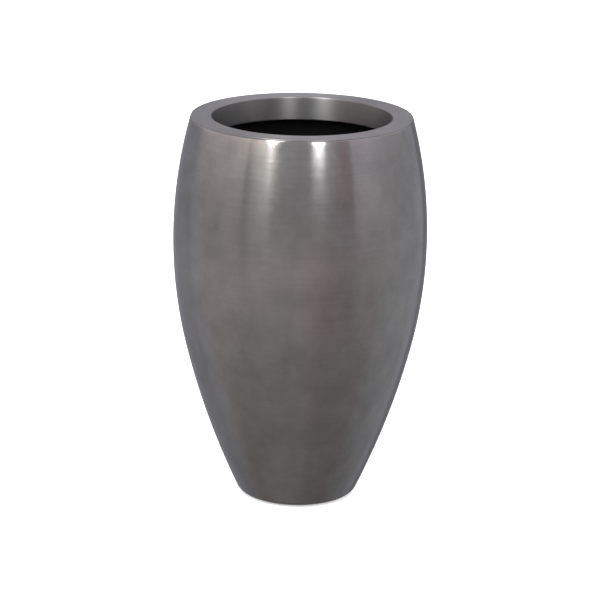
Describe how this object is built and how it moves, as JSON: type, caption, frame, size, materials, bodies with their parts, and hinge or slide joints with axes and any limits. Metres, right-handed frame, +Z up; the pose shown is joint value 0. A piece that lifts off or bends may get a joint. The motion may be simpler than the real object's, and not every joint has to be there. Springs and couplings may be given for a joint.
{
  "type": "floor planter",
  "caption": "Barrel-shaped metal floor planter with a wide flat rim and a lift-out liner that has folding bails and a drain bung.",
  "frame": {"origin": "on the floor, in the middle of the foot", "axes": "+Z up along the planter's axis; the front, as pictured, faces -Y; +X to the viewer's right"},
  "size_m": [0.455, 0.4548, 0.7],
  "materials": {
    "brushed_metal": "dark tinted, brushed round the axis, satin lacquer",
    "bare_sheet": "black coated sheet steel",
    "liner_plastic": "moulded, fine matt grain",
    "bung_rubber": "smooth moulded rubber",
    "pad_rubber": "matt",
    "bail_wire": "zinc plated drawn wire",
    "grip_plastic": "smooth moulded plastic"
  },
  "bodies": {
    "vessel": {"body_shell": "brushed_metal", "rim_ring": "brushed_metal", "base_plate": "bare_sheet", "foot_pads": "pad_rubber", "liner_brackets": "bare_sheet"},
    "liner": {"liner": "liner_plastic"},
    "drain_bung": {"drain_bung": "bung_rubber"},
    "front_bail": {"front_bail_wire": "bail_wire", "front_bail_grip": "grip_plastic"},
    "rear_bail": {"rear_bail_wire": "bail_wire", "rear_bail_grip": "grip_plastic"}
  },
  "joints": [
    {"name": "liner_lift", "type": "slide", "parent": "vessel", "child": "liner", "axis": [0, 0, 1], "range_m": [0, 0.4]},
    {"name": "bung_pull", "type": "slide", "parent": "liner", "child": "drain_bung", "axis": [0, 0, 1], "range_m": [0, 0.03]},
    {"name": "front_bail_fold", "type": "hinge", "parent": "liner", "child": "front_bail", "pos_m": [0, -0.009, 0.6073], "axis": [-1, 0, 0], "range_deg": [0, 90]},
    {"name": "rear_bail_fold", "type": "hinge", "parent": "liner", "child": "rear_bail", "pos_m": [0, 0.009, 0.6073], "axis": [1, 0, 0], "range_deg": [0, 90]}
  ]
}
